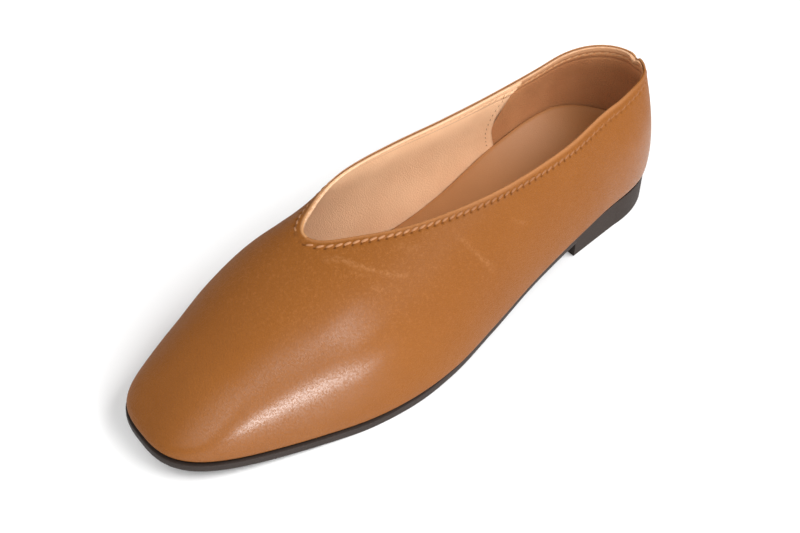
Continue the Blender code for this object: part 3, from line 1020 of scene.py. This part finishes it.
def loft(levels):
    """A solid through levels given from top to bottom, as closed loops across it at each station."""
    run = np.linspace(0, 1, SOLE_ACROSS + 1)
    sides = levels[1:-1]
    walk = [(levels[0], run)] + [(level, run[-1:]) for level in sides]
    walk += [(levels[-1], run[::-1])] + [(level, run[:1]) for level in reversed(sides)]
    walk += [(levels[0], run[:1])]
    strips = []
    for (inner, outer, height), across in walk:
        x, station = inner[:, :, None] + (outer - inner)[:, :, None] * across
        strips.append(in_frame(x, station, height(station, across)))
    shape = moved_grid(np.concatenate(strips, axis=1))
    bmesh.ops.remove_doubles(shape, verts=shape.verts, dist=MERGE * MM)
    bmesh.ops.dissolve_degenerate(shape, edges=shape.edges, dist=MERGE * MM / 10)
    bmesh.ops.holes_fill(shape, edges=shape.edges, sides=0)
    bmesh.ops.recalc_face_normals(shape, faces=shape.faces)
    return shape


def rounding(radius, steps):
    """Inset and drop of points round a quarter circle, from the top of an edge to its side."""
    angles = np.linspace(0, np.pi / 2, steps + 1)
    return [(radius * (1 - math.sin(angle)), radius * (1 - math.cos(angle))) for angle in angles]


# %% The moulded insole
INSOLE_GAP = 0.5
INSOLE_ROUND = 0.8
INSOLE_CHAMFER = 1.8
CUP_POWER = 1.8
BED_COLUMNS = ("station", "bed", "cup_in", "cup_out")
BED_SECTIONS = (
    (0, 7.0, 2.2, 2.2),
    (25, 8.0, 7.8, 2.5),
    (40, 7.6, 9.4, 2.4),
    (55, 7.0, 8.4, 2.0),
    (85, 4.5, 3.4, 1.0),
    (110, 3.2, 1.6, 0.5),
    (135, 2.7, 0.6, 0.3),
    (160, 2.4, 0.0, 0.0),
    (250, 2.3, 0.0, 0.0),
)
BED_TABLE = dict(zip(BED_COLUMNS, np.array(BED_SECTIONS, float).T))
INSOLE_STATIONS = even_stations(SOLE_STATIONS, 0, LENGTH)


def footbed(name, at):
    return smooth(BED_TABLE["station"], BED_TABLE[name], at)


def insole_under(station, across):
    return column("feather", station) + WALL + SEAT_GAP


def insole_over(station, across):
    cup = np.where(across < 0.5, footbed("cup_in", station), footbed("cup_out", station))
    rise = footbed("bed", station) + cup * np.abs(2 * across - 1) ** CUP_POWER
    return insole_under(station, across) + rise


def inside_edge(side, at, height, clear):
    """Plan points, as x and station, that lie clear of the outer face at a height over the feather line."""
    edge_x, way, shift, rise = wall_section(side, at[:, None], INSIDE_ROWS)
    reach = np.hypot(*way)
    run_step = np.gradient(shift * reach, axis=1)
    rise_step = np.gradient(rise, axis=1)
    step = np.hypot(run_step, rise_step)
    run = shift * reach + clear * rise_step / step
    rise = rise - clear * run_step / step
    share = np.array([np.interp(*line) for line in zip(height, rise, run)]) / reach[:, 0]
    return np.stack([edge_x[:, 0] + way[0, :, 0] * share, at + way[1, :, 0] * share])


def insole_level(height, inset):
    feather = column("feather", INSOLE_STATIONS)
    edges = [inside_edge(side, INSOLE_STATIONS, height(INSOLE_STATIONS, across) - feather, WALL + inset)
             for side, across in ((-1, 0.0), (1, 1.0))]
    return (*edges, height)


def lowered(height, drop):
    return lambda *place: height(*place) - drop


insole_levels = [insole_level(lowered(insole_over, drop), INSOLE_GAP + inset)
                 for inset, drop in rounding(INSOLE_ROUND, 4)]
insole_levels.append(insole_level(lowered(insole_under, -INSOLE_CHAMFER), INSOLE_GAP))
insole_levels.append(insole_level(insole_under, INSOLE_GAP + INSOLE_CHAMFER))


def tan_sock():
    sock = Finish("tan_sock", specular_ior_level=0.4)
    patches = sock.cloud(30, 3.0)
    fine = sock.cloud(0.5, 3.0, 0.6)
    grain = sock.pebbles(0.8)
    tone = sock.blend(patches, (0.330, 0.138, 0.045), (0.392, 0.176, 0.062))
    tone = sock.blend(fine * 0.25, tone, (0.245, 0.098, 0.034))
    height = grain.to((0.0, 0.3), (0.0, 1.0)) * 0.5 + fine
    return sock.set(base_color=tone, roughness=0.46 + fine * 0.12, normal=sock.bump(height, 0.05))


add_piece("insole_sock", loft(insole_levels), tan_sock(), "insole")

# %% The thin outsole
OUTSOLE_THICK = 3.5
OUTSOLE_BEVEL = 1.2
OUTSOLE_TOP_ROUND = 0.4
BREAST = 54.0
WAIST_SHOWS = 1.6
WAIST_MIDDLE = 90.0
WAIST_HALF = 38.0


def foot_outline(at, grow):
    return -half_width(-1, at, grow), half_width(1, at, grow)


def sole_level(outline, back, front, shares, grow, height):
    """One level of a sole piece: plan points of its inner and outer edge, and its height at a station."""
    at = back + (front - back) * shares
    inner, outer = outline(at, grow(at))
    return np.stack([inner, at]), np.stack([outer, at]), lambda station, across: height(station)


def outsole_top(at):
    return column("feather", at) - SEAT_GAP


def outsole_under(at):
    return np.maximum(outsole_top(at) - OUTSOLE_THICK, 0.0)


def outsole_edge(at):
    """The sole's edge stands out a little more along the waist, where it shows as a thin dark line."""
    return column("edge", at) + WAIST_SHOWS * hump(at, WAIST_MIDDLE, WAIST_HALF)


def outsole_level(inset, height):
    back = BREAST + SEAT_GAP
    front = LENGTH + TABLE["edge"][-1] - inset
    shares = (even_stations(SOLE_STATIONS, back, LENGTH) - back) / (LENGTH - back)
    return sole_level(foot_outline, back, front, shares, lambda at: outsole_edge(at) - inset, height)


outsole_levels = [outsole_level(inset, lowered(outsole_top, drop))
                  for inset, drop in rounding(OUTSOLE_TOP_ROUND, 2)]
outsole_levels += [outsole_level(inset, lowered(outsole_under, -rise))
                   for inset, rise in reversed(rounding(OUTSOLE_BEVEL, 4))]


def dark_rubber(name, light, dark, roughness):
    rubber = Finish(name, specular_ior_level=0.25)
    patches = rubber.cloud(16, 3.0)
    specks = rubber.cloud(0.7, 3.0, 0.7)
    tone = rubber.blend(patches, dark, light)
    tone = rubber.blend(specks.to((0.55, 0.75), (0.0, 0.4)), tone, (0.09, 0.070, 0.060))
    return rubber.set(base_color=tone, roughness=roughness + (specks - 0.5) * 0.2,
                      normal=rubber.bump(specks, 0.08))


SOLE_BROWN = dark_rubber("brown_black_sole", (0.030, 0.021, 0.018), (0.021, 0.015, 0.012), 0.6)
add_piece("thin_outsole", loft(outsole_levels), SOLE_BROWN, "outsole", SOLE_CRISP)

# %% The low heel
HEEL_INSET = 0.5
HEEL_TAPER = 0.8
HEEL_BREAST_INNER = 25.0
HEEL_BREAST_OUTER = 25.5
HEEL_LIP = 0.6


def heel_outline(at, grow):
    """As the foot's outline round the back, then straight to the breast."""
    widths = []
    for side, name, breast in ((-1, "inner", HEEL_BREAST_INNER), (1, "outer", HEEL_BREAST_OUTER)):
        half = np.interp(at, [HEEL_ROUND, BREAST], [column(name, HEEL_ROUND), breast])
        widths.append(side * (half + grow) * end_rounding(at, grow))
    return widths


def heel_level(grow, height):
    shares = even_stations(SOLE_STATIONS // 2, 0, BREAST) / BREAST
    return sole_level(heel_outline, -grow, BREAST, shares, lambda at: grow, height)


heel_foot = -HEEL_INSET - HEEL_TAPER
heel_levels = [heel_level(-HEEL_INSET, outsole_top)]
heel_levels += [heel_level(heel_foot - inset, lambda at, rise=rise: rise + 0 * at)
                for inset, rise in reversed(rounding(HEEL_LIP, 3))]
HEEL_GREY = dark_rubber("grey_brown_heel", (0.029, 0.019, 0.015), (0.020, 0.013, 0.010), 0.7)
add_piece("low_heel", loft(heel_levels), HEEL_GREY, "heel", SOLE_CRISP)

# %% [markdown]
# ## Floor, light and camera
# The shoe stands on a near-white floor in even studio light. A high key light on the right lights the
# inside, two large softboxes fill from the front and the left, and a narrow one low on the right, with a
# dim one over it, gives the pale band along the side of the toe. A bright surround keeps the shadows
# faint. The camera stands where the photograph was taken from, with a longer lens, so that the one shoe
# fills the frame.

# %% The pale floor
FLOOR_REACH = 4.0
floor_shape = bmesh.new()
bmesh.ops.create_grid(floor_shape, x_segments=8, y_segments=8, size=FLOOR_REACH)
floor_mesh = bpy.data.meshes.new("studio_floor")
floor_shape.to_mesh(floor_mesh)
floor_shape.free()
floor = put_in_scene("studio_floor", floor_mesh)
floor_finish = Finish("pale_floor", base_color=(0.9, 0.9, 0.9, 1.0), roughness=0.7,
                      emission_color=(1.0, 1.0, 1.0, 1.0), emission_strength=0.05)
floor_mesh.materials.append(floor_finish.material)


# %% Soft light
def softbox(name, place, aim, width, height, power, roll):
    lamp = bpy.data.lights.new(name, "AREA")
    lamp.shape = "RECTANGLE"
    lamp.size = width
    lamp.size_y = height
    lamp.energy = power
    holder = put_in_scene(name, lamp)
    holder.location = place
    toward = (Vector(aim) - Vector(place)).to_track_quat("-Z", "Y")
    holder.rotation_euler = (toward @ Quaternion((0, 0, 1), math.radians(roll))).to_euler()


SHOE_MIDDLE = (0.0, 0.0, 0.02)
TOE_SIDE = (0.03, -0.075, 0.026)
# Each softbox: its name, place, aim, width, height, power in watts, and how far it is rolled, in degrees.
SOFTBOXES = (
    ("key_softbox", (1.12, 0.65, 1.40), SHOE_MIDDLE, 1.8, 1.0, 43.0, 0.0),
    ("front_softbox", (0.46, -1.26, 1.34), SHOE_MIDDLE, 2.0, 1.6, 17.5, 0.0),
    ("left_softbox", (-1.03, -0.86, 1.34), SHOE_MIDDLE, 2.2, 1.6, 11.0, 0.0),
    ("side_softbox", (1.44, -0.10, 0.22), TOE_SIDE, 0.75, 0.30, 9.5, -20.0),
    ("glow_softbox", (1.44, -0.10, 0.42), TOE_SIDE, 0.9, 0.35, 2.0, -10.0),
)
for box in SOFTBOXES:
    softbox(*box)
print("softboxes:", len(SOFTBOXES))
world = bpy.data.worlds.new("bright_surround")
world.use_nodes = True
surround = world.node_tree.nodes["Background"].inputs
surround["Color"].default_value = (1.0, 0.99, 0.98, 1.0)
surround["Strength"].default_value = 0.22
bpy.context.scene.world = world
bpy.context.scene.view_settings.view_transform = "Standard"

# %% The photograph's view
CAMERA_PLACE = Vector((0.55322, -0.46573, 0.7110))
CAMERA_AIM = Vector((-0.00398, -0.00043, 0.0200))
PHOTO_LENS = 79.83
CLOSER = 1.45
lens = bpy.data.cameras.new("photo_camera")
lens.lens = PHOTO_LENS * CLOSER
camera = put_in_scene("photo_camera", lens)
camera.location = CAMERA_PLACE
camera.rotation_euler = (CAMERA_AIM - CAMERA_PLACE).to_track_quat("-Z", "Y").to_euler()
bpy.context.scene.camera = camera
